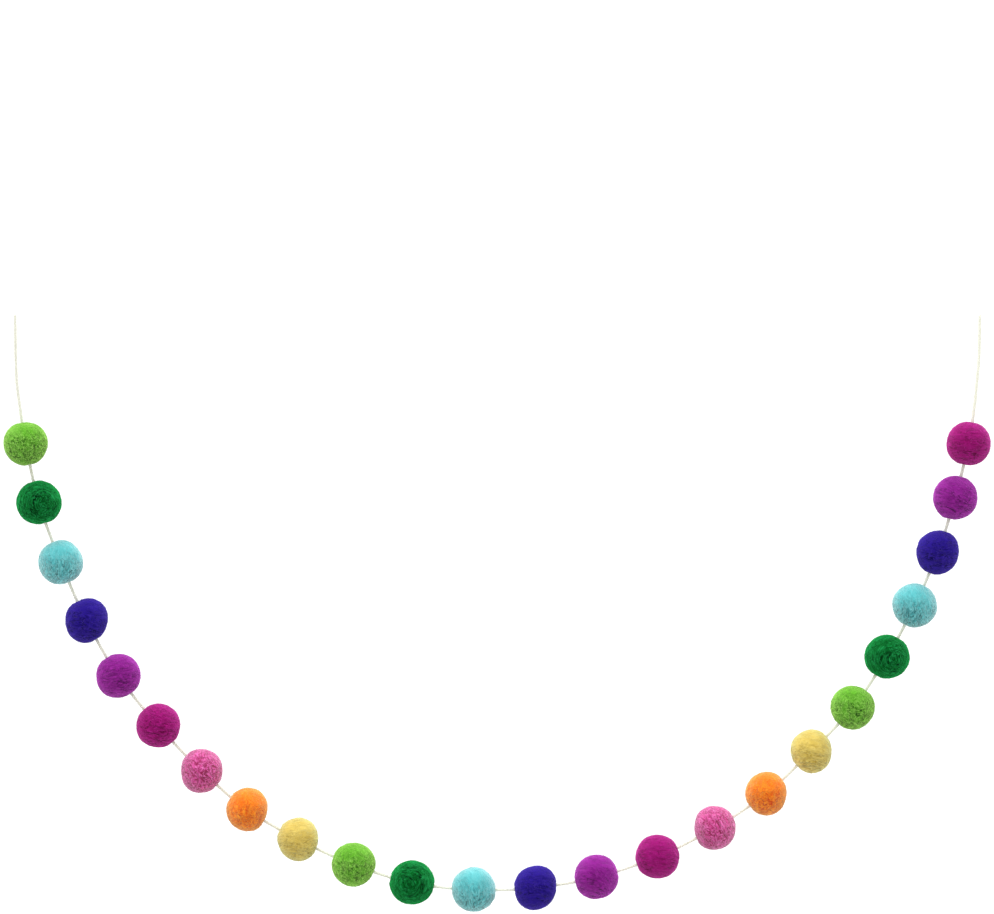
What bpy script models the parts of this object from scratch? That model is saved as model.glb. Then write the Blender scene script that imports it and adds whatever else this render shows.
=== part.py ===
"""Felt ball garland, hanging in a deep curve from the two ends of its string.

Twenty-four wool felt balls in nine repeating colours, each pierced through its
middle, are threaded on one cotton string. The garland hangs in the XZ plane.
Units are metres with +Z up. The origin is the left end of the string, +X runs
to its right end and +Y away from the viewer.
"""

from cmath import rect
from collections import namedtuple
from math import asin, cos, hypot, pi, radians, sin

import bmesh
import bpy
from mathutils import Vector

MM = 0.001

# Driving sizes of the string and of the hole it runs through, in mm
STRING_DIAMETER = 1.6
HOLE_CLEARANCE = 0.4
HOLE_RADIUS = STRING_DIAMETER / 2 + HOLE_CLEARANCE

# How finely the curved pieces are stepped
STRING_STEPS = 3
STRING_BEVEL_STEPS = 2
BALL_SIDES = 16
BALL_RINGS = 10

# The wools, in the order in which they are threaded. Diameter, oval and egg are in mm.
# Oval is how far the ball stands out of round along its long way and egg how far its
# three soft corners do. Each is followed by its direction, in degrees up from +X.
Wool = namedtuple("Wool", "name colour diameter oval oval_way egg egg_way")
WOOLS = (
    Wool("lime", "#68A539", 20.2, 0.05, 5, 0.10, 25),
    Wool("green", "#10682E", 20.5, 0.15, 0, 0.05, -25),
    Wool("aqua", "#67BEBF", 20.4, 0.05, -25, 0.05, -35),
    Wool("indigo", "#2D1F84", 20.1, 0.35, 65, 0.15, 35),
    Wool("purple", "#89278A", 20.4, 0.10, 35, 0.05, -10),
    Wool("magenta", "#971D6E", 20.3, 0.05, 35, 0.05, -30),
    Wool("pink", "#C2568E", 19.8, 0.30, 85, 0.15, 5),
    Wool("orange", "#EA8532", 19.5, 0.30, 80, 0.15, 50),
    Wool("yellow", "#D5BC64", 19.5, 0.30, 95, 0.15, 50),
)
STRING_COLOUR = "#ECE8DA"
FELT_ROUGHNESS = 0.95
STRING_ROUGHNESS = 0.85

# The string's route, seen from the front, as (across, height) in mm. It starts at the
# left end, passes through the middle of every ball and ends at the right end.
Place = namedtuple("Place", "across height")
LEFT_LEAD = (
    Place(0.0, 0.0),
    Place(0.3, -18.0),
    Place(0.8, -30.5),
    Place(2.3, -43.0),
)
BALL_PLACES = (
    Place(4.9, -59.4),
    Place(11.0, -86.5),
    Place(21.0, -114.0),
    Place(32.9, -140.7),
    Place(47.5, -166.2),
    Place(65.9, -189.1),
    Place(85.8, -209.9),
    Place(106.8, -227.7),
    Place(130.2, -241.4),
    Place(155.7, -253.0),
    Place(182.6, -261.3),
    Place(211.0, -264.5),
    Place(239.4, -263.6),
    Place(267.4, -258.7),
    Place(295.5, -249.4),
    Place(321.9, -236.1),
    Place(345.5, -220.3),
    Place(366.3, -200.9),
    Place(385.3, -180.8),
    Place(401.1, -157.4),
    Place(413.8, -133.8),
    Place(424.4, -109.4),
    Place(432.5, -84.3),
    Place(438.6, -59.4),
)
RIGHT_LEAD = (
    Place(441.2, -43.0),
    Place(442.5, -30.5),
    Place(443.5, -18.0),
    Place(443.8, 0.0),
)


def string_route():
    """The points that the string passes through, in metres."""
    places = LEFT_LEAD + BALL_PLACES + RIGHT_LEAD
    return [Vector((place.across, 0, place.height)) * MM for place in places]


def point_on_route(route, place):
    """The point of a smooth curve through the route; place 2.5 is midway between points 2 and 3."""
    last = len(route) - 1
    index = min(max(int(place), 0), last - 1)
    step = place - index
    before = route[max(index - 1, 0)]
    start = route[index]
    end = route[index + 1]
    after = route[min(index + 2, last)]
    leave = (end - before) / 2
    arrive = (after - start) / 2
    rise = step * step * (3 - 2 * step)
    leave_share = step * (1 - step) ** 2
    arrive_share = step * step * (step - 1)
    return start.lerp(end, rise) + leave * leave_share + arrive * arrive_share


def linear_colour(code):
    """The linear red, green, blue and alpha of an sRGB hex code."""
    channels = [int(code[i:i + 2], 16) / 255 for i in (1, 3, 5)]
    linear = [c / 12.92 if c <= 0.04045 else ((c + 0.055) / 1.055) ** 2.4 for c in channels]
    return (*linear, 1.0)


def make_material(name, colour, roughness):
    """A plain matt material in one colour."""
    material = bpy.data.materials.new(name)
    material.use_nodes = True
    shader = material.node_tree.nodes["Principled BSDF"]
    shader.inputs["Base Color"].default_value = linear_colour(colour)
    shader.inputs["Roughness"].default_value = roughness
    shader.inputs["Metallic"].default_value = 0.0
    return material


def place_object(name, data, material, parent):
    """Adds an object with its material to the scene, under the garland's empty."""
    thing = bpy.data.objects.new(name, data)
    data.materials.append(material)
    thing.parent = parent
    bpy.context.collection.objects.link(thing)
    return thing


def wave(direction, order, way):
    """A smooth swell with so many crests around the ball's outline, the first one lying that way."""
    turned = complex(direction.x, direction.z) * rect(1, -radians(way))
    return (turned ** order).real


def ball_radius(wool, direction):
    """How far the ball's surface lies from its middle in a direction, in metres."""
    oval = wool.oval * wave(direction, 2, wool.oval_way)
    egg = wool.egg * wave(direction, 3, wool.egg_way)
    return (wool.diameter / 2 + oval + egg) * MM


def spun_ball(radius, hole_radius):
    """A round ball with a straight hole along its Z axis, spun from the profile of its wall."""
    mouth = asin(hole_radius / radius)
    profile = []
    for ring in range(BALL_RINGS + 1):
        angle = mouth + (pi - 2 * mouth) * ring / BALL_RINGS
        profile.append((radius * sin(angle), 0, radius * cos(angle)))
    profile.append((hole_radius, 0, 0))

    shape = bmesh.new()
    corners = [shape.verts.new(point) for point in profile]
    for index, corner in enumerate(corners):
        shape.edges.new((corners[index - 1], corner))
    bmesh.ops.spin(
        shape,
        geom=shape.verts[:] + shape.edges[:],
        axis=(0, 0, 1),
        angle=2 * pi,
        steps=BALL_SIDES,
        use_merge=True,
    )
    bmesh.ops.recalc_face_normals(shape, faces=shape.faces)
    return shape


def make_ball(name, wool, material, route, stop, parent):
    """One felt ball, threaded at a point of the route, with its hole bent as the string is."""
    middle = route[stop]
    ahead = route[stop + 1] - middle
    behind = middle - route[stop - 1]
    turn = (ahead + behind).to_track_quat("Z", "Y")
    unturn = turn.inverted()
    radius = wool.diameter / 2 * MM
    hole_radius = HOLE_RADIUS * MM

    shape = spun_ball(radius, hole_radius)
    for vert in shape.verts:
        reach = ball_radius(wool, turn @ vert.co.normalized()) / radius
        if hypot(vert.co.x, vert.co.y) > 1.01 * hole_radius:
            vert.co *= reach
            continue
        along = vert.co.z * reach
        pitch = ahead.length if along > 0 else behind.length
        on_string = unturn @ (point_on_route(route, stop + along / pitch) - middle)
        vert.co = Vector((vert.co.x + on_string.x, vert.co.y + on_string.y, along))

    mesh = bpy.data.meshes.new(name)
    shape.to_mesh(mesh)
    shape.free()
    mesh.shade_smooth()
    mesh.set_sharp_from_angle(angle=radians(50))
    ball = place_object(name, mesh, material, parent)
    ball.location = middle
    ball.rotation_mode = "QUATERNION"
    ball.rotation_quaternion = turn
    return ball


def make_string(route, material, parent):
    """The cotton string, a round tube with plain cut ends."""
    steps = STRING_STEPS
    inner_ends = (1, len(route) - 2)
    stops = [0.0, 0.5]
    for index in range(inner_ends[0], inner_ends[1]):
        stops.extend(index + step / steps for step in range(steps))
    stops.extend([inner_ends[1], inner_ends[1] + 0.5, inner_ends[1] + 1])

    curve = bpy.data.curves.new("string", "CURVE")
    curve.dimensions = "3D"
    curve.bevel_depth = STRING_DIAMETER / 2 * MM
    curve.bevel_resolution = STRING_BEVEL_STEPS
    curve.use_fill_caps = True
    curve.render_resolution_u = 0
    spline = curve.splines.new("POLY")
    spline.points.add(len(stops) - 1)
    for point, stop in zip(spline.points, stops):
        point.co = (*point_on_route(route, stop), 1)
    return place_object("string", curve, material, parent)


def main():
    for old in list(bpy.data.objects):
        bpy.data.objects.remove(old)

    garland = bpy.data.objects.new("garland", None)
    bpy.context.collection.objects.link(garland)
    route = string_route()
    make_string(route, make_material("cotton_string", STRING_COLOUR, STRING_ROUGHNESS), garland)

    felts = [make_material(f"{wool.name}_felt", wool.colour, FELT_ROUGHNESS) for wool in WOOLS]
    for index in range(len(BALL_PLACES)):
        kind = index % len(WOOLS)
        wool = WOOLS[kind]
        name = f"ball_{index + 1:02d}_{wool.name}"
        make_ball(name, wool, felts[kind], route, len(LEFT_LEAD) + index, garland)


main()
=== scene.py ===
"""Looks of a felt ball garland: wool felt balls threaded on a twisted cotton string.

Every ball is a finer, fuzzy copy of its plain solid, with its own hole drawn in around
the string, and the string is laid up from three plies. Sizes are real ones, in the
units that their names or comments give, and all finished meshes are in metres.
"""

from __future__ import annotations

import logging
from cmath import rect
from dataclasses import dataclass
from enum import Enum
from functools import cached_property
from math import acos, asin, cos, hypot, pi, radians, sin, sqrt
from random import Random
from typing import Any, NamedTuple

import bmesh
import bpy
from mathutils import Matrix, Quaternion, Vector, noise

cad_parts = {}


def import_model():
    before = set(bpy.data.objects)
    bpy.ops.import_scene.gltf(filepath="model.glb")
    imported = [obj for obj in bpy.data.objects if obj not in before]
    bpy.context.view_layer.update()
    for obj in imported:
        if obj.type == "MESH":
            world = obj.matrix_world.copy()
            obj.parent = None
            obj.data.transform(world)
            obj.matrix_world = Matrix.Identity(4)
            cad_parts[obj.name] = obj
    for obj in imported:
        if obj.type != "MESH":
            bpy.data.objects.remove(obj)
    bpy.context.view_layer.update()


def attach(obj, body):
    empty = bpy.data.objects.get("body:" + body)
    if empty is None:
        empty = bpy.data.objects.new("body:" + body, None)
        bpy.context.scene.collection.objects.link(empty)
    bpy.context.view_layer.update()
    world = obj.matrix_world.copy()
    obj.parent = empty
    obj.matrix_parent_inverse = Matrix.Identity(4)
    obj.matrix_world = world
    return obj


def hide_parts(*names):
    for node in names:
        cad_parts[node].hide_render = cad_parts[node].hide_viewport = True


LOG = logging.getLogger("garland")
MM = 0.001
BODY = "root"


def linear_colour(code: str) -> tuple[float, float, float, float]:
    """Turns an sRGB hex code into a linear colour.

    Args:
        code: the colour, as "#RRGGBB".

    Returns:
        Linear red, green, blue and an alpha of 1.
    """
    channels = [int(code[i:i + 2], 16) / 255 for i in (1, 3, 5)]
    linear = [c / 12.92 if c <= 0.04045 else ((c + 0.055) / 1.055) ** 2.4 for c in channels]
    return (linear[0], linear[1], linear[2], 1.0)


def add_node(
    tree: bpy.types.NodeTree,
    kind: str,
    settings: dict[str, Any] | None = None,
    values: dict[str | int, Any] | None = None,
    links: dict[str | int, bpy.types.NodeSocket] | None = None,
) -> bpy.types.Node:
    """Adds a node to a tree, with its settings and links.

    Args:
        tree: the node tree.
        kind: the node's Blender type.
        settings: the node's own properties.
        values: constants for its input sockets, by name or number.
        links: the output sockets that feed its inputs, by name or number.

    Returns:
        The new node.
    """
    node = tree.nodes.new(kind)
    for name, value in (settings or {}).items():
        setattr(node, name, value)
    for name, value in (values or {}).items():
        node.inputs[name].default_value = value
    for name, source in (links or {}).items():
        tree.links.new(source, node.inputs[name])
    return node


class Fibres(NamedTuple):
    """The way that wool fibres lie around a ball.

    They run around a pole, which is a direction in the garland's frame. Drawn out is how
    wide the pattern is across them for its length along them, wander is how far they stray
    in mm, and curl how strongly they curl up.
    """

    pole: tuple[float, float, float]
    drawn_out: float
    wander: float
    curl: float


class FibreRun(Enum):
    """The ways that the fibres lie on the garland's balls."""

    CURLS = Fibres((0.3, -0.8, 0.5), 1.0, 0.6, 1.3)
    RINGS = Fibres((0.05, -1.0, -0.1), 0.35, 0.6, 0.8)
    UPRIGHT = Fibres((1.0, 0.25, 0.2), 0.45, 0.8, 0.6)
    LEVEL = Fibres((0.1, 0.15, 1.0), 0.35, 0.8, 0.7)
    SLANTED = Fibres((0.8, 0.1, 0.6), 0.6, 0.9, 0.8)


class Pits(NamedTuple):
    """The dark pits between matted locks.

    Their darkness is painted shade. Size is in mm, share is how many open, where 0.5 is
    about half, and gathered how far they keep to patches, from 0, evenly spread, to 1.
    """

    size: float = 0.8
    share: float = 0.48
    gathered: float = 0.75


class CalmAndLit(NamedTuple):
    """Where a felt is calm.

    It is rough below one height and calm above another, both in ball radii above its
    middle, and its pits and hollows are painted with shade below and paler above, where
    the light from above falls. Left is the share of its roughness and painted shade that
    stays on the calm part.
    """

    rough_shaded_below: float = -0.1
    calm_lit_above: float = 0.8
    left: float = 0.35


@dataclass(frozen=True)
class WoolFelt:
    """Wet-felted dyed wool: matt, with matted locks, pits between them painted dark with shade, and a pale bloom of
    loose fibres.
    """

    name: str
    body: str
    bloom: str
    run: FibreRun
    # How strongly hollows and pits are painted with shade and crests painted paler
    depth: float
    pits: Pits = Pits()
    # Where the pits and hollows are painted with less shade and the felt is calmer, higher up where the light from
    # above falls
    calm_and_lit: CalmAndLit = CalmAndLit()

    # Matted locks are about a millimetre across. Single wool fibres of 0.03 mm are too fine
    # to show, so those drawn in them are bundles of a few
    lock_mm: float = 0.95
    fibre_mm: float = 0.16
    wander_size_mm: float = 3.2
    patch_mm: float = 2.4

    @property
    def slot(self) -> str:
        """The record's material slot."""
        return f"{self.name}_felt"

    def shade(self, bounces: float, light: float = 1.0) -> tuple[float, float, float, float]:
        """The wool's colour where light has bounced more or less often among its fibres.

        Args:
            bounces: 1 for the body of the felt, more in a pit and less in loose fibres.
            light: the share of the light that gets out again.

        Returns:
            Linear red, green, blue and an alpha of 1.
        """
        red, green, blue, _ = linear_colour(self.body)
        return (light * red ** bounces, light * green ** bounces, light * blue ** bounces, 1.0)

    def material(self) -> bpy.types.Material:
        """Makes the felt's material.

        Returns:
            A material that reads the attributes of the ball's mesh: "grain", a place on the
            ball in mm with X across the fibres, "relief", "roughed" and "strand".
        """
        material = bpy.data.materials.new(f"{self.name}_wool_felt")
        material.use_nodes = True
        tree = material.node_tree
        tree.nodes.clear()
        run = self.run.value
        stray = 5 * run.wander

        # The place on the ball, pushed about so that the fibres wander
        grain = add_node(tree, "ShaderNodeAttribute", {"attribute_name": "grain"})
        drift = add_node(
            tree, "ShaderNodeTexNoise", values={"Scale": 1 / self.wander_size_mm, "Detail": 1.0},
            links={"Vector": grain.outputs["Vector"]},
        )
        centred = add_node(
            tree, "ShaderNodeVectorMath", {"operation": "SUBTRACT"}, {1: (0.5, 0.5, 0.5)},
            {0: drift.outputs["Color"]},
        )
        wandering = add_node(
            tree, "ShaderNodeVectorMath", {"operation": "MULTIPLY_ADD"},
            {1: (stray, stray, stray)},
            {0: centred.outputs[0], 2: grain.outputs["Vector"]},
        )

        # Matted locks, and the fine fibres in them, combed one way and crossing over each other
        locks = add_node(
            tree, "ShaderNodeTexNoise",
            values={"Scale": 1 / self.lock_mm, "Detail": 2.0, "Roughness": 0.55, "Distortion": 0.7},
            links={"Vector": wandering.outputs[0]},
        )
        combed = add_node(
            tree, "ShaderNodeVectorMath", {"operation": "MULTIPLY"}, {1: (1.0, 0.12, 0.12)},
            {0: wandering.outputs[0]},
        )
        crossed = add_node(
            tree, "ShaderNodeVectorMath", {"operation": "MULTIPLY"}, {1: (0.2, 1.0, 0.12)},
            {0: wandering.outputs[0]},
        )
        runs, crossings = [
            add_node(
                tree, "ShaderNodeTexNoise",
                values={"Scale": 1 / self.fibre_mm, "Detail": 1.0, "Roughness": 0.5, "Distortion": 0.3},
                links={"Vector": way.outputs[0]},
            )
            for way in (combed, crossed)
        ]
        fibres = add_node(
            tree, "ShaderNodeMath", {"operation": "MAXIMUM"},
            links={0: runs.outputs["Fac"], 1: crossings.outputs["Fac"]},
        )

        # Pits between the locks, which gather in patches, with stray fibres across their edges
        hollows = add_node(
            tree, "ShaderNodeTexNoise",
            values={"Scale": 1 / self.pits.size, "Detail": 1.0, "Roughness": 0.4, "Distortion": run.curl},
            links={"Vector": wandering.outputs[0]},
        )
        strewn = add_node(
            tree, "ShaderNodeMath", {"operation": "MULTIPLY_ADD"}, {1: 0.7},
            {0: fibres.outputs[0], 2: hollows.outputs["Fac"]},
        )
        brim = self.pits.share + 0.43
        hollow = add_node(
            tree, "ShaderNodeMapRange", {"interpolation_type": "SMOOTHSTEP"},
            {"From Min": brim, "From Max": brim - 0.18, "To Min": 0.0, "To Max": 1.0},
            {"Value": strewn.outputs[0]},
        )
        patches = add_node(
            tree, "ShaderNodeTexNoise", values={"Scale": 1 / self.patch_mm, "Detail": 2.0},
            links={"Vector": grain.outputs["Vector"]},
        )
        opened = add_node(
            tree, "ShaderNodeMapRange", {"interpolation_type": "SMOOTHSTEP"},
            {"From Min": 0.38, "From Max": 0.6, "To Min": 1 - self.pits.gathered, "To Max": 1.0},
            {"Value": patches.outputs["Fac"]},
        )
        # Painted shade: the pits and hollows are painted darker lower on each ball and paler higher up, where the
        # light from above falls
        rough_and_shaded = add_node(tree, "ShaderNodeAttribute", {"attribute_name": "rough_and_shaded"})
        opened_pits = add_node(
            tree, "ShaderNodeMath", {"operation": "MULTIPLY"},
            links={0: hollow.outputs["Result"], 1: opened.outputs["Result"]},
        )
        pits = add_node(
            tree, "ShaderNodeMath", {"operation": "MULTIPLY"},
            links={0: opened_pits.outputs[0], 1: rough_and_shaded.outputs["Fac"]},
        )

        # Height of the surface for the bump
        relief = add_node(tree, "ShaderNodeAttribute", {"attribute_name": "relief"})
        lock_part = add_node(
            tree, "ShaderNodeMath", {"operation": "MULTIPLY"}, {1: 0.5},
            {0: locks.outputs["Fac"]},
        )
        height = add_node(
            tree, "ShaderNodeMath", {"operation": "MULTIPLY_ADD"}, {1: 0.5},
            {0: fibres.outputs[0], 2: lock_part.outputs[0]},
        )
        pitted = add_node(
            tree, "ShaderNodeMath", {"operation": "MULTIPLY_ADD"}, {1: -0.2},
            {0: pits.outputs[0], 2: height.outputs[0]},
        )

        # Dye with painted light and shade: painted a little paler on the crests and lumps and
        # deeper between them, deepest in the pits and palest in loose fibres, as light bounces
        # there less or more often. The pattern and its painted shade are calmer higher up each
        # ball, where the light from above falls
        off_middle = add_node(
            tree, "ShaderNodeMath", {"operation": "SUBTRACT"}, {1: 0.5}, {0: height.outputs[0]},
        )
        calmed_shading = add_node(
            tree, "ShaderNodeMath", {"operation": "MULTIPLY"},
            links={0: off_middle.outputs[0], 1: rough_and_shaded.outputs["Fac"]},
        )
        tone = add_node(
            tree, "ShaderNodeMath", {"operation": "MULTIPLY_ADD"}, {1: 0.03},
            {0: relief.outputs["Fac"], 2: calmed_shading.outputs[0]},
        )
        spread = add_node(
            tree, "ShaderNodeMapRange", values={"From Min": -0.15, "From Max": 0.15, "To Min": 0.0, "To Max": 1.0},
            links={"Value": tone.outputs[0]},
        )
        ramp = add_node(tree, "ShaderNodeValToRGB", links={"Fac": spread.outputs["Result"]})
        dye_and_shade = ramp.color_ramp
        dye_and_shade.elements[0].position = 0.0
        dye_and_shade.elements[0].color = self.shade(1 + 0.5 * self.depth, 1 - 0.2 * self.depth)
        dye_and_shade.elements[1].position = 1.0
        dye_and_shade.elements[1].color = self.shade(1 - 0.3 * self.depth)
        middle = dye_and_shade.elements.new(0.5)
        middle.color = self.shade(1)
        # Painted shade: the pits are painted in a deeper, darker shade of the wool
        deepened = add_node(
            tree, "ShaderNodeMix", {"data_type": "RGBA"}, {7: self.shade(1 + self.depth, 1 - 0.3 * self.depth)},
            {0: pits.outputs[0], 6: ramp.outputs["Color"]},
        )
        # Painted light: loose fibres are painted paler, as light bounces less often among them
        strand = add_node(tree, "ShaderNodeAttribute", {"attribute_name": "strand"})
        colour = add_node(
            tree, "ShaderNodeMix", {"data_type": "RGBA"}, {7: self.shade(0.5)},
            {0: strand.outputs["Fac"], 6: deepened.outputs[2]},
        )

        bump = add_node(
            tree, "ShaderNodeBump", values={"Strength": 1.0, "Distance": 0.45 * MM},
            links={"Height": pitted.outputs[0]},
        )
        shader = add_node(
            tree, "ShaderNodeBsdfPrincipled",
            values={
                "Roughness": 1.0,
                "Specular IOR Level": 0.0,
                "Sheen Weight": 1.0,
                "Sheen Roughness": 0.5,
                "Sheen Tint": linear_colour(self.bloom),
            },
            links={"Base Color": colour.outputs[2], "Normal": bump.outputs["Normal"]},
        )
        add_node(tree, "ShaderNodeOutputMaterial", links={"Surface": shader.outputs[0]})
        return material


@dataclass(frozen=True)
class CottonYarn:
    """Natural cotton, spun and laid up: matt pale ivory that light soaks into, with lighter fibres."""

    slot: str = "cotton_string"
    shade: str = "#CBCBBD"
    light: str = "#DADACE"
    fibre_mm: float = 0.25
    soak_mm: float = 2.5

    def material(self) -> bpy.types.Material:
        """Makes the cotton's material, patterned on the object's own coordinates.

        Returns:
            The material.
        """
        material = bpy.data.materials.new("natural_cotton_yarn")
        material.use_nodes = True
        tree = material.node_tree
        tree.nodes.clear()
        where = add_node(tree, "ShaderNodeTexCoord")
        in_mm = add_node(
            tree, "ShaderNodeVectorMath", {"operation": "SCALE"}, {"Scale": 1 / MM},
            {0: where.outputs["Object"]},
        )
        fibres = add_node(
            tree, "ShaderNodeTexNoise", {"noise_dimensions": "3D"},
            {"Scale": 1 / self.fibre_mm, "Detail": 3.0, "Roughness": 0.65},
            {"Vector": in_mm.outputs[0]},
        )
        ramp = add_node(tree, "ShaderNodeValToRGB", links={"Fac": fibres.outputs["Fac"]})
        ramp.color_ramp.elements[0].position = 0.3
        ramp.color_ramp.elements[0].color = linear_colour(self.shade)
        ramp.color_ramp.elements[1].position = 0.65
        ramp.color_ramp.elements[1].color = linear_colour(self.light)
        bump = add_node(
            tree, "ShaderNodeBump", values={"Strength": 0.4, "Distance": 0.06 * MM},
            links={"Height": fibres.outputs["Fac"]},
        )
        shader = add_node(
            tree, "ShaderNodeBsdfPrincipled",
            values={
                "Roughness": 0.85,
                "Specular IOR Level": 0.2,
                "Subsurface Weight": 1.0,
                "Subsurface Radius": (1.0, 1.0, 1.0),
                "Subsurface Scale": self.soak_mm * MM,
            },
            links={"Base Color": ramp.outputs["Color"], "Normal": bump.outputs["Normal"]},
        )
        add_node(tree, "ShaderNodeOutputMaterial", links={"Surface": shader.outputs[0]})
        return material


FELTS = (
    WoolFelt("lime", "#57A522", "#CBFC8A", FibreRun.CURLS, 1.5, Pits(0.95, 0.55, 0.7), CalmAndLit(0.0, 0.7, 0.25)),
    WoolFelt("green", "#025419", "#39CA6B", FibreRun.RINGS, 1.35, Pits(0.75, 0.53, 0.6), CalmAndLit(0.3, 1.1, 0.6)),
    WoolFelt("aqua", "#50B3B7", "#E5FFFF", FibreRun.UPRIGHT, 1.3, Pits(0.54, 0.52, 0.5), CalmAndLit(-0.4, 0.5, 0.15)),
    WoolFelt("indigo", "#21117B", "#6758AE", FibreRun.LEVEL, 0.6, Pits(0.7, 0.5)),
    WoolFelt("purple", "#7C157B", "#E275E7", FibreRun.LEVEL, 0.85, Pits(0.8, 0.51), CalmAndLit(-0.5, 0.6, 0.4)),
    WoolFelt("magenta", "#8B0C62", "#E265BE", FibreRun.LEVEL, 0.7, Pits(0.8, 0.51), CalmAndLit(-0.6, 0.6, 0.5)),
    WoolFelt("pink", "#D04693", "#F7C6E2", FibreRun.SLANTED, 1.2, Pits(0.75, 0.54, 0.2), CalmAndLit(0.1, 1.0, 0.6)),
    WoolFelt("orange", "#F97B0C", "#D4DEA2", FibreRun.CURLS, 1.2, Pits(1.1, 0.54, 0.4), CalmAndLit(-0.3, 0.6, 0.3)),
    WoolFelt("yellow", "#CFB455", "#E8F7C6", FibreRun.LEVEL, 0.8, Pits(0.6, 0.5, 0.5), CalmAndLit(-0.5, 0.5, 0.3)),
)


class Wave(NamedTuple):
    """A swell around a ball: how far it stands out in mm, and where its first crest lies, in degrees up from +X."""

    amount: float
    way: float


@dataclass(frozen=True)
class BallForm:
    """How large a wool's balls are, in mm, and how far they are out of round."""

    diameter: float
    oval: Wave
    egg: Wave
    square: Wave

    @staticmethod
    def _swell(direction: Vector, order: int, wave: Wave) -> float:
        """How far one wave stands out in a direction, in mm."""
        turned = complex(direction.x, direction.z) * rect(1, -radians(wave.way))
        return wave.amount * (turned ** order).real

    def radius(self, direction: Vector) -> float:
        """How far the ball's surface lies from its middle in a direction, in metres."""
        swells = (
            self._swell(direction, 2, self.oval)
            + self._swell(direction, 3, self.egg)
            + self._swell(direction, 4, self.square)
        )
        return (self.diameter / 2 + swells) * MM


FORMS = (
    BallForm(20.2, Wave(0.05, 5), Wave(0.10, 25), Wave(0.0, 0)),
    BallForm(20.5, Wave(0.15, 0), Wave(0.05, -25), Wave(0.0, 0)),
    BallForm(20.4, Wave(0.05, -25), Wave(0.05, -35), Wave(0.1, -20)),
    BallForm(20.1, Wave(0.35, 65), Wave(0.15, 35), Wave(0.1, -35)),
    BallForm(20.4, Wave(0.10, 35), Wave(0.05, -10), Wave(0.1, -35)),
    BallForm(20.3, Wave(0.05, 35), Wave(0.05, -30), Wave(0.1, 35)),
    BallForm(19.8, Wave(0.30, 85), Wave(0.15, 5), Wave(0.15, 45)),
    BallForm(19.5, Wave(0.30, 80), Wave(0.15, 50), Wave(0.05, 30)),
    BallForm(19.5, Wave(0.30, 95), Wave(0.15, 50), Wave(0.05, -35)),
)


class Place(NamedTuple):
    """A point of the string's route, seen from the front, in mm from its left end."""

    across: float
    height: float


LEFT_LEAD = (
    Place(0.0, 0.0),
    Place(0.3, -18.0),
    Place(0.8, -30.5),
    Place(2.3, -43.0),
)
BALL_PLACES = (
    Place(4.9, -59.4),
    Place(11.0, -86.5),
    Place(21.0, -114.0),
    Place(32.9, -140.7),
    Place(47.5, -166.2),
    Place(65.9, -189.1),
    Place(85.8, -209.9),
    Place(106.8, -227.7),
    Place(130.2, -241.4),
    Place(155.7, -253.0),
    Place(182.6, -261.3),
    Place(211.0, -264.5),
    Place(239.4, -263.6),
    Place(267.4, -258.7),
    Place(295.5, -249.4),
    Place(321.9, -236.1),
    Place(345.5, -220.3),
    Place(366.3, -200.9),
    Place(385.3, -180.8),
    Place(401.1, -157.4),
    Place(413.8, -133.8),
    Place(424.4, -109.4),
    Place(432.5, -84.3),
    Place(438.6, -59.4),
)
RIGHT_LEAD = (
    Place(441.2, -43.0),
    Place(442.5, -30.5),
    Place(443.5, -18.0),
    Place(443.8, 0.0),
)


class Route:
    """The smooth line that the string follows, through the middle of every ball."""

    def __init__(self) -> None:
        """Reads the listed places as points in metres."""
        places = LEFT_LEAD + BALL_PLACES + RIGHT_LEAD
        self.points = [Vector((place.across, 0, place.height)) * MM for place in places]
        self.first_ball = len(LEFT_LEAD)

    def at(self, stop: float) -> Vector:
        """Finds a point of the line.

        Args:
            stop: the place's number along the route; 2.5 is midway between places 2 and 3.

        Returns:
            The point, in metres.
        """
        last = len(self.points) - 1
        index = min(max(int(stop), 0), last - 1)
        step = stop - index
        before = self.points[max(index - 1, 0)]
        start = self.points[index]
        end = self.points[index + 1]
        after = self.points[min(index + 2, last)]
        rise = step * step * (3 - 2 * step)
        leave = (end - before) / 2 * step * (1 - step) ** 2
        arrive = (after - start) / 2 * step * step * (step - 1)
        return start.lerp(end, rise) + leave + arrive

    def spaced(self, pitch: float) -> list[Vector]:
        """Walks the line in even steps.

        Args:
            pitch: about how far apart the points are, in metres.

        Returns:
            Points from the left end to the right one.
        """
        fine = 40
        trail = [self.at(k / fine) for k in range((len(self.points) - 1) * fine + 1)]
        gone = [0.0]
        for a, b in zip(trail, trail[1:]):
            gone.append(gone[-1] + (b - a).length)
        count = round(gone[-1] / pitch)
        points = []
        near = 0
        for k in range(count + 1):
            target = gone[-1] * k / count
            while near < len(gone) - 2 and gone[near + 1] < target:
                near += 1
            share = (target - gone[near]) / (gone[near + 1] - gone[near])
            points.append(trail[near].lerp(trail[near + 1], share))
        return points


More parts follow.
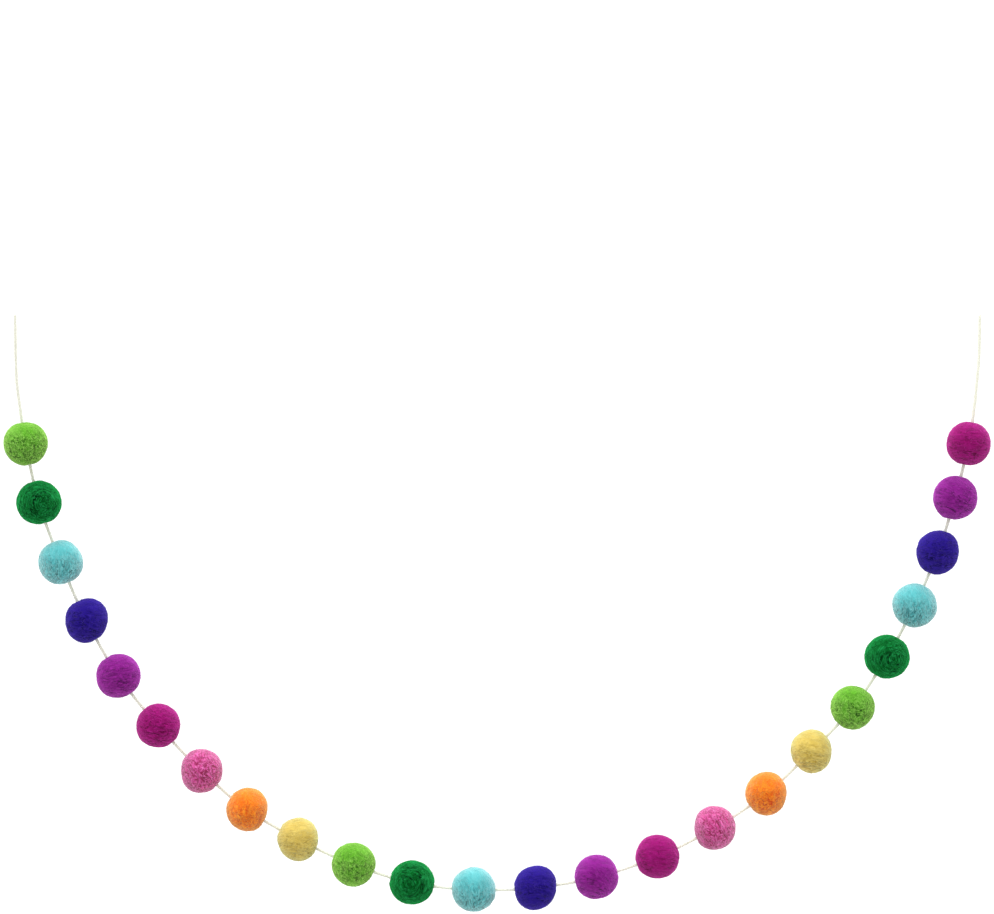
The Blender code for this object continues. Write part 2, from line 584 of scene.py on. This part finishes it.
@dataclass
class TwistedString:
    """The cotton string: three plies laid up around each other, sizes in mm.

    The plies stand a little proud of the string's mean diameter, and each is so much of
    its width.
    """

    route: Route
    finish: CottonYarn
    diameter: float = 1.6
    plies: int = 3
    proud: float = 1.04
    ply_share: float = 0.78
    points_a_ply: int = 6
    lay: float = 5.0
    steps_a_turn: int = 10

    def build(self) -> bpy.types.Object:
        """Returns:
            The string's object.
        """
        line = self.route.spaced(self.lay / self.steps_a_turn * MM)
        mesh = self._laid_up(line)
        mesh.materials.clear()
        mesh.materials.append(self.finish.material())
        mesh.shade_smooth()
        string = bpy.data.objects.new("cotton_string", mesh)
        bpy.context.scene.collection.objects.link(string)

        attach(string, BODY)
        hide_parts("string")
        return string

    def _section(self) -> bpy.types.Object:
        """Draws the string's section: the outline of its plies, pressed together as soft yarn is."""
        crest = self.proud * self.diameter / 2
        ply_radius = self.ply_share * crest
        offset = crest - ply_radius
        count = self.plies * self.points_a_ply
        curve = bpy.data.curves.new("section", "CURVE")
        curve.dimensions = "3D"
        spline = curve.splines.new("POLY")
        spline.points.add(count - 1)
        spline.use_cyclic_u = True
        for index, corner in enumerate(spline.points):
            angle = 2 * pi * index / count
            off_ply = 2 * pi * (index % self.points_a_ply) / count
            off_ply = min(off_ply, 2 * pi / self.plies - off_ply)
            reach = offset * cos(off_ply) + sqrt(ply_radius ** 2 - (offset * sin(off_ply)) ** 2)
            corner.co = (reach * cos(angle) * MM, reach * sin(angle) * MM, 0, 1)
        section = bpy.data.objects.new("section", curve)
        bpy.context.scene.collection.objects.link(section)
        return section

    def _laid_up(self, line: list[Vector]) -> bpy.types.Mesh:
        """Sweeps the section along the string, turning it as the plies wind around each other.

        Args:
            line: points along the string, in even steps.

        Returns:
            The string's mesh, one closed skin.
        """
        section = self._section()
        curve = bpy.data.curves.new("lay", "CURVE")
        curve.dimensions = "3D"
        curve.bevel_mode = "OBJECT"
        curve.bevel_object = section
        curve.use_fill_caps = True
        spline = curve.splines.new("POLY")
        spline.points.add(len(line) - 1)
        for index, point in enumerate(line):
            spline.points[index].co = (*point, 1)
            spline.points[index].tilt = 2 * pi * index / self.steps_a_turn
        swept = bpy.data.objects.new("lay", curve)
        bpy.context.scene.collection.objects.link(swept)
        seen = swept.evaluated_get(bpy.context.evaluated_depsgraph_get())
        mesh = bpy.data.meshes.new_from_object(seen)
        mesh.name = "cotton_string"
        bpy.data.objects.remove(swept)
        bpy.data.objects.remove(section)

        shape = bmesh.new()
        shape.from_mesh(mesh)
        bmesh.ops.remove_doubles(shape, verts=shape.verts, dist=0.001 * MM)
        bmesh.ops.recalc_face_normals(shape, faces=shape.faces)
        shape.to_mesh(mesh)
        shape.free()
        return mesh


@dataclass
class FeltBall:
    """One pierced felt ball on the string, sizes in mm."""

    number: int
    felt: WoolFelt
    form: BallForm
    route: Route
    sides: int = 144
    rings: int = 80
    hole_radius: float = 0.87
    lump: float = 0.14
    lump_size: float = 4.5
    lock: float = 0.09
    lock_size: float = 1.4
    pucker: float = 0.7
    pucker_width: float = 1.6
    fuzz: int = 380
    fuzz_radius: float = 0.03
    pole_jitter: float = 0.15

    @property
    def node(self) -> str:
        """The name of the plain solid that this ball stands for."""
        return f"ball_{self.number:02d}_{self.felt.name}"

    @cached_property
    def own_place(self) -> Vector:
        """Where in the endless patterns this ball's piece is cut, in mm."""
        return Vector((31.7, 17.3, 5.9)) * self.number

    @cached_property
    def wander_places(self) -> list[Vector]:
        """Where the three parts of the locks' wander are read, apart so that they differ."""
        return [Vector(place) for place in ((9.3, -1.5, -8.0), (-7.3, 1.9, 11.7), (0.7, 0.3, -2.4))]

    @cached_property
    def from_pole(self) -> Quaternion:
        """Turns a direction into the fibres' own frame, whose X is the pole that they run around."""
        draw = Random(self.number)
        jitter = Vector([draw.gauss(0, self.pole_jitter) for _ in range(3)])
        return (Vector(self.felt.run.value.pole) + jitter).to_track_quat("X", "Z").inverted()

    def _spun(self) -> bmesh.types.BMesh:
        """Spins the profile of the ball's wall about Z: a round ball with a straight hole."""
        radius = self.form.diameter / 2 * MM
        hole = self.hole_radius * MM
        mouth = asin(hole / radius)
        profile = []
        for ring in range(self.rings + 1):
            angle = mouth + (pi - 2 * mouth) * ring / self.rings
            profile.append((radius * sin(angle), 0, radius * cos(angle)))
        wall_steps = 6
        foot = profile[-1][2]
        for step in range(1, wall_steps):
            profile.append((hole, 0, foot * (1 - 2 * step / wall_steps)))

        shape = bmesh.new()
        corners = [shape.verts.new(point) for point in profile]
        for index, corner in enumerate(corners):
            shape.edges.new((corners[index - 1], corner))
        bmesh.ops.spin(
            shape,
            geom=shape.verts[:] + shape.edges[:],
            axis=(0, 0, 1),
            angle=2 * pi,
            steps=self.sides,
            use_merge=True,
        )
        bmesh.ops.recalc_face_normals(shape, faces=shape.faces)
        return shape

    def _grain(self, direction: Vector) -> Vector:
        """Where a direction lies in the felt's pattern, in mm, with X across the fibres."""
        local = self.from_pole @ direction
        radius = self.form.diameter / 2
        across = radius * acos(min(1.0, max(-1.0, local.x)))
        along = Vector((0, local.y, local.z)) * radius * self.felt.run.value.drawn_out
        return Vector((across, along.y, along.z)) + self.own_place

    def _relief(self, direction: Vector) -> float:
        """How far lumps and matted locks raise the felt in a direction, in mm."""
        spot = direction * self.form.diameter / 2 + self.own_place
        lump = noise.noise(spot / self.lump_size)
        grain = self._grain(direction)
        slow = grain / (2 * self.lock_size)
        wander = Vector([noise.noise(slow + apart) for apart in self.wander_places]) * self.lock_size
        lock = 0.4 - 2 * abs(noise.noise((grain + wander) / self.lock_size))
        return self.lump * lump + self.lock * lock

    def _rough_and_shaded(self, direction: Vector) -> float:
        """How rough the felt is in a direction and how strongly its pits and hollows are painted with shade, from 1
        down to what is left where it is calm, up where the light from above falls.
        """
        calm_and_lit = self.felt.calm_and_lit
        share = (direction.z - calm_and_lit.rough_shaded_below) / (calm_and_lit.calm_lit_above - calm_and_lit.rough_shaded_below)
        share = min(1.0, max(0.0, share))
        return 1 - (1 - calm_and_lit.left) * share

    def build(self, material: bpy.types.Material) -> bpy.types.Object:
        """Makes the ball and puts it on the string in place of its plain solid.

        Args:
            material: the ball's felt.

        Returns:
            The ball's object.
        """
        stop = self.route.first_ball + self.number - 1
        middle = self.route.points[stop]
        ahead = self.route.points[stop + 1] - middle
        behind = middle - self.route.points[stop - 1]
        turn = (ahead + behind).to_track_quat("Z", "Y")
        unturn = turn.inverted()
        radius = self.form.diameter / 2 * MM
        hole = self.hole_radius * MM

        shape = self._spun()
        grain_layer = shape.verts.layers.float_vector.new("grain")
        relief_layer = shape.verts.layers.float.new("relief")
        rough_shade_layer = shape.verts.layers.float.new("rough_and_shaded")
        strand_layer = shape.verts.layers.float.new("strand")
        for vert in shape.verts:
            out = hypot(vert.co.x, vert.co.y)
            direction = turn @ vert.co.normalized()
            reach = self.form.radius(direction) / radius
            vert[grain_layer] = self._grain(direction)
            # How rough the felt is and how strongly its pits are painted with shade, less higher up where the light
            # from above falls
            vert[rough_shade_layer] = self._rough_and_shaded(direction)
            if out > 1.01 * hole:
                raised = self._relief(direction)
                nearness = max(0.0, 1 - (out / MM - self.hole_radius) / self.pucker_width)
                sunk = self.pucker * nearness ** 2
                vert[relief_layer] = raised / self.lock
                vert.co *= reach + (raised * (1 - nearness) - sunk) * MM / radius
                continue
            along = vert.co.z * (reach - self.pucker * MM / radius)
            pitch = ahead.length if along > 0 else behind.length
            bend = unturn @ (self.route.at(stop + along / pitch) - middle)
            vert.co = Vector((vert.co.x + bend.x, vert.co.y + bend.y, along))

        self._add_fuzz(shape, turn)
        placed = Matrix.Translation(middle) @ turn.to_matrix().to_4x4()
        bmesh.ops.transform(shape, matrix=placed, verts=shape.verts)

        name = f"felt_ball_{self.number:02d}_{self.felt.name}"
        mesh = bpy.data.meshes.new(name)
        shape.to_mesh(mesh)
        shape.free()
        mesh.materials.append(material)
        mesh.shade_smooth()
        ball = bpy.data.objects.new(name, mesh)
        bpy.context.scene.collection.objects.link(ball)
        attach(ball, BODY)
        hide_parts(self.node)
        LOG.info("%s: %d faces", name, len(mesh.polygons))
        return ball

    def _strand(self) -> bpy.types.Mesh:
        """One straight fibre to copy, standing on Z, one unit long and one in radius at its root."""
        strand = bmesh.new()
        bmesh.ops.create_cone(
            strand,
            cap_ends=True,
            segments=3,
            radius1=1,
            radius2=0.4,
            depth=1,
            matrix=Matrix.Translation((0, 0, 0.5)),
        )
        long_edges = [e for e in strand.edges if abs(e.verts[0].co.z - e.verts[1].co.z) > 0.5]
        bmesh.ops.subdivide_edges(strand, edges=long_edges, cuts=4)
        mesh = bpy.data.meshes.new("strand")
        strand.to_mesh(mesh)
        strand.free()
        return mesh

    def _add_fuzz(self, shape: bmesh.types.BMesh, turn: Quaternion) -> None:
        """Adds loose curled fibres, each rooted in the felt and arching just over it.

        Args:
            shape: the ball, about its own middle, with its layers.
            turn: how the ball is turned from its own frame to the garland's.
        """
        fuzz = bmesh.new()
        grain_layer = fuzz.verts.layers.float_vector.new("grain")
        strand_layer = fuzz.verts.layers.float.new("strand")
        strand = self._strand()
        size = len(strand.vertices)
        for _ in range(self.fuzz):
            fuzz.from_mesh(strand, face_normals=False, vertex_normals=False)
        bpy.data.meshes.remove(strand)
        fuzz.verts.ensure_lookup_table()

        draw = Random(self.number)
        radius = self.form.diameter / 2
        clear_of_hole = 2.2 * self.hole_radius / radius
        for index in range(self.fuzz):
            root = Vector([draw.gauss(0, 1) for _ in range(3)]).normalized()
            while hypot(root.x, root.y) < clear_of_hole:
                root = Vector([draw.gauss(0, 1) for _ in range(3)]).normalized()
            axis = root.cross(Vector([draw.gauss(0, 1) for _ in range(3)])).normalized()
            length = draw.uniform(1.6, 4.2)
            rise = draw.uniform(0.45, 0.7) if index % 16 == 0 else draw.uniform(0.12, 0.4)
            curl = draw.gauss(0, 0.9)
            # How much paler the fibre is painted, as light bounces less often among loose fibres
            pale = draw.uniform(0.25, 0.8)
            for vert in fuzz.verts[index * size:(index + 1) * size]:
                share = vert.co.z
                swing = Quaternion(axis, length * share / radius)
                direction = Quaternion(root, curl * share) @ (swing @ root)
                seen_way = turn @ direction
                arch = rise * sin(pi * min(1.0, 1.15 * share)) - 0.06
                height = self.form.radius(seen_way) / MM + self._relief(seen_way) + arch
                round_it = (axis * vert.co.x + direction * vert.co.y) * self.fuzz_radius
                vert.co = (direction * height + round_it) * MM
                vert[grain_layer] = self._grain(seen_way)
                vert[strand_layer] = pale

        loose = bpy.data.meshes.new("fuzz")
        fuzz.to_mesh(loose)
        fuzz.free()
        shape.from_mesh(loose)
        bpy.data.meshes.remove(loose)


@dataclass
class Studio:
    """The camera and the soft light around the garland, which hangs in a plain bright room."""

    # Where the picture's middle looks, in mm right of and above the string's left end, and the
    # width of what it shows there
    look_across: float = 221.7
    look_height: float = -65.55
    seen_width: float = 457.24
    lens: float = 135.0
    sensor: float = 36.0

    # Brightness of the white room and of its open front, and the softbox overhead, with its
    # spread and its tilts to the front and to the left in degrees
    room_light: float = 1.3
    front_light: float = 0.47
    overhead: float = 3.1
    overhead_spread: float = 75.0
    overhead_front: float = 12.0
    overhead_left: float = 6.0

    # The floor lies far below the garland, which hangs high across the room, and is as bright
    # as the room
    floor_drop: float = 2700.0
    floor_size: float = 9000.0
    floor_shade: str = "#C8C8C6"

    def place_camera(self) -> None:
        """Stands the camera level in front of the garland, as far off as its lens asks."""
        data = bpy.data.cameras.new("camera")
        data.lens = self.lens
        data.sensor_width = self.sensor
        data.clip_end = 100
        camera = bpy.data.objects.new("camera", data)
        distance = self.seen_width * self.lens / self.sensor
        camera.location = Vector((self.look_across, -distance, self.look_height)) * MM
        camera.rotation_euler = (pi / 2, 0, 0)
        bpy.context.scene.collection.objects.link(camera)
        bpy.context.scene.camera = camera

    def lay_floor(self) -> None:
        """Lays a plain pale floor of painted board, matt and even, under the garland."""
        shape = bmesh.new()
        bmesh.ops.create_grid(shape, x_segments=1, y_segments=1, size=self.floor_size / 2 * MM)
        centre = Vector((self.look_across, 0, -self.floor_drop)) * MM
        bmesh.ops.translate(shape, vec=centre, verts=shape.verts)
        mesh = bpy.data.meshes.new("floor")
        shape.to_mesh(mesh)
        shape.free()
        paint = bpy.data.materials.new("matt_floor_paint")
        paint.use_nodes = True
        shader = paint.node_tree.nodes["Principled BSDF"]
        shader.inputs["Base Color"].default_value = linear_colour(self.floor_shade)
        shader.inputs["Roughness"].default_value = 0.9
        shader.inputs["Specular IOR Level"].default_value = 0.1
        mesh.materials.append(paint)
        floor = bpy.data.objects.new("floor", mesh)
        bpy.context.scene.collection.objects.link(floor)

    def light(self) -> None:
        """Lights the garland softly from all round, most from above and least from the front."""
        world = bpy.data.worlds.new("soft_room")
        world.use_nodes = True
        tree = world.node_tree
        tree.nodes.clear()
        where = add_node(tree, "ShaderNodeTexCoord")
        parts = add_node(tree, "ShaderNodeSeparateXYZ", links={0: where.outputs["Generated"]})
        strength = add_node(
            tree, "ShaderNodeMapRange", {"interpolation_type": "SMOOTHSTEP"},
            {"From Min": -0.8, "From Max": -0.3, "To Min": self.front_light, "To Max": self.room_light},
            {"Value": parts.outputs["Y"]},
        )
        room = add_node(tree, "ShaderNodeBackground", links={"Strength": strength.outputs[0]})
        room.inputs["Color"].default_value = (1, 1, 1, 1)
        add_node(tree, "ShaderNodeOutputWorld", links={"Surface": room.outputs[0]})
        bpy.context.scene.world = world

        data = bpy.data.lights.new("overhead", "SUN")
        data.energy = self.overhead
        data.angle = radians(self.overhead_spread)
        lamp = bpy.data.objects.new("overhead", data)
        lamp.rotation_euler = (radians(self.overhead_front), radians(-self.overhead_left), 0)
        bpy.context.scene.collection.objects.link(lamp)
        bpy.context.scene.view_settings.view_transform = "Standard"
        bpy.context.scene.view_settings.look = "None"


def main() -> None:
    """Builds the garland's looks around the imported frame, and the studio around them."""
    logging.basicConfig(level=logging.INFO, format="%(name)s %(message)s")
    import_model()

    studio = Studio()
    studio.place_camera()
    route = Route()
    TwistedString(route, CottonYarn()).build()

    materials = [felt.material() for felt in FELTS]
    for index in range(len(BALL_PLACES)):
        kind = index % len(FELTS)
        FeltBall(index + 1, FELTS[kind], FORMS[kind], route).build(materials[kind])
    studio.lay_floor()
    studio.light()


if __name__ == "__main__":
    main()
